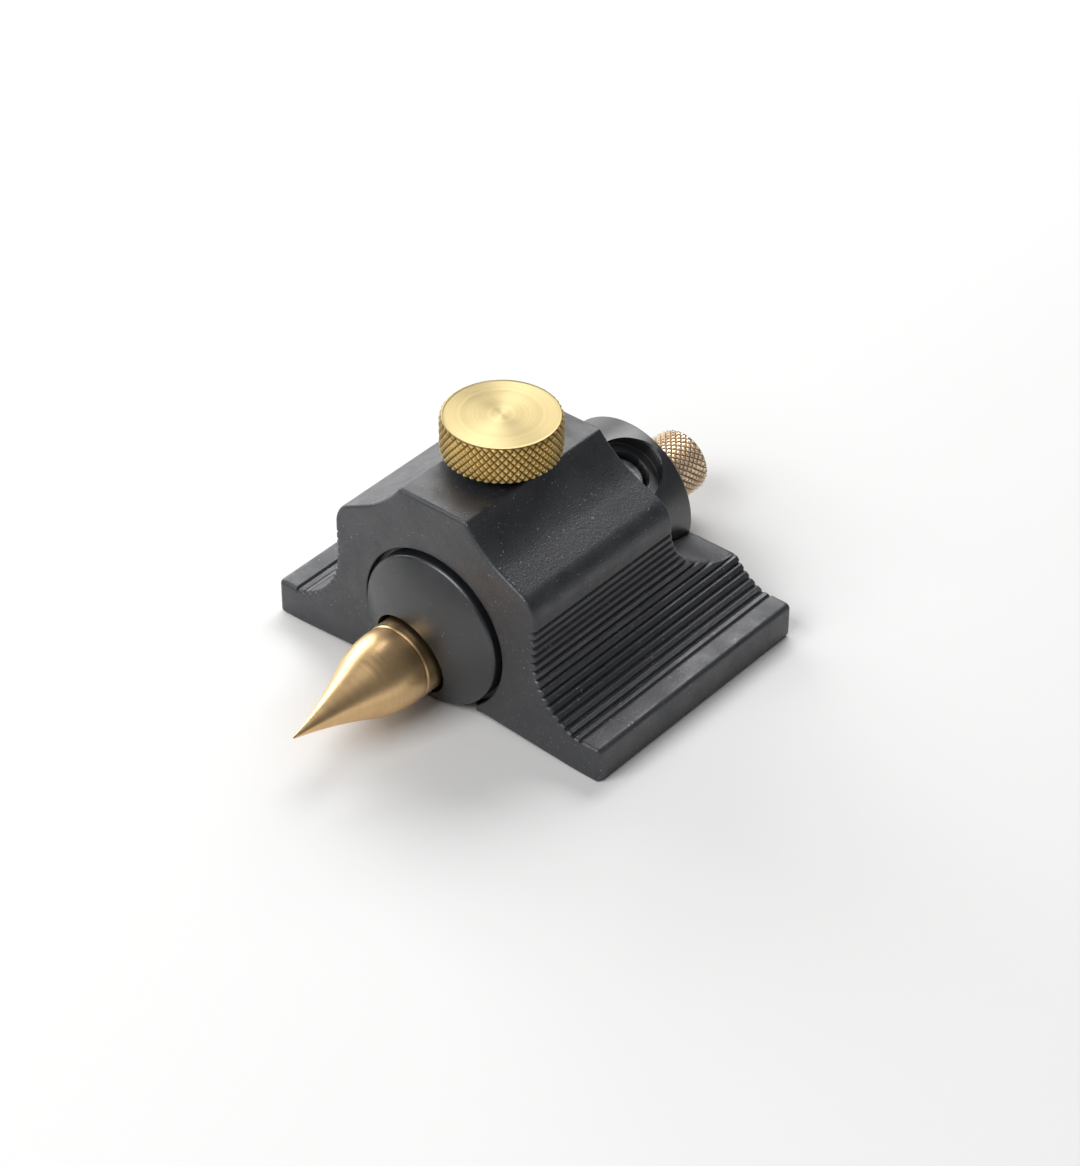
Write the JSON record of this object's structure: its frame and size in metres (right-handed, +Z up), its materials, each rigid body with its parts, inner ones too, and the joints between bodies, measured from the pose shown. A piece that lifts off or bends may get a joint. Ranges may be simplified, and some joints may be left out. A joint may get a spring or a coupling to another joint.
{
  "type": "marking gauge",
  "caption": "Small marking gauge with a grooved black block, a turning eccentric barrel, a sliding pointed brass scriber and a knurled brass clamp screw.",
  "frame": {"origin": "on the surface that the gauge stands on, under the middle of its overall box", "axes": "+Z up, -Y the way the point faces, X across the block's two flanges"},
  "size_m": [0.0644, 0.0916, 0.0435],
  "materials": {
    "black_anodised_blasted": "black anodised over a fine bead-blasted grain, matt",
    "black_anodised_turned": "black anodised over a turned surface, satin",
    "brass_rod": "ground brass bar, smooth",
    "brass_point": "turned brass, satin",
    "brass_knurled": "diamond-knurled brass, bare",
    "brass_polished": "turned and polished brass with a diamond-knurled rim",
    "steel_screw": "plain stainless steel",
    "nylon_pad": "plain nylon"
  },
  "bodies": {
    "frame": {"block": "black_anodised_blasted"},
    "barrel": {"barrel": "black_anodised_turned"},
    "scriber": {"scriber_rod": "brass_rod", "point": "brass_point", "tail_knob": "brass_knurled"},
    "clamp_slide": {"clamp_pad": "nylon_pad"},
    "thumb_screw": {"thumb_screw_head": "brass_polished", "thumb_screw_stud": "steel_screw"},
    "lock_slide": {"lock_pad": "nylon_pad"},
    "lock_screw": {"lock_screw": "steel_screw"}
  },
  "joints": [
    {"name": "barrel_turn", "type": "hinge", "parent": "frame", "child": "barrel", "pos_m": [0, 0, 0.01295], "axis": [0, 1, 0], "continuous": true},
    {"name": "scriber_slide", "type": "slide", "parent": "barrel", "child": "scriber", "axis": [0, 1, 0], "range_m": [-0.004, 0.02]},
    {"name": "clamp_lift", "type": "slide", "parent": "frame", "child": "clamp_slide", "axis": [0, 0, 1], "range_m": [0, 0.00187]},
    {"name": "thumb_screw_turn", "type": "hinge", "parent": "clamp_slide", "child": "thumb_screw", "pos_m": [0, -0.0016, 0.0404], "axis": [0, 0, 1], "range_deg": [0, 540]},
    {"name": "lock_lift", "type": "slide", "parent": "barrel", "child": "lock_slide", "axis": [0.4695, 0, 0.8829], "range_m": [0, 0.000937]},
    {"name": "lock_screw_turn", "type": "hinge", "parent": "lock_slide", "child": "lock_screw", "pos_m": [0, 0.02175, 0.01295], "axis": [0.4695, 0, 0.8829], "range_deg": [0, 270]}
  ],
  "couplings": [
    {"joint": "thumb_screw_turn", "follows": "clamp_lift", "rad_per_m": 5026.5},
    {"joint": "lock_screw_turn", "follows": "lock_lift", "rad_per_m": 5026.5}
  ]
}
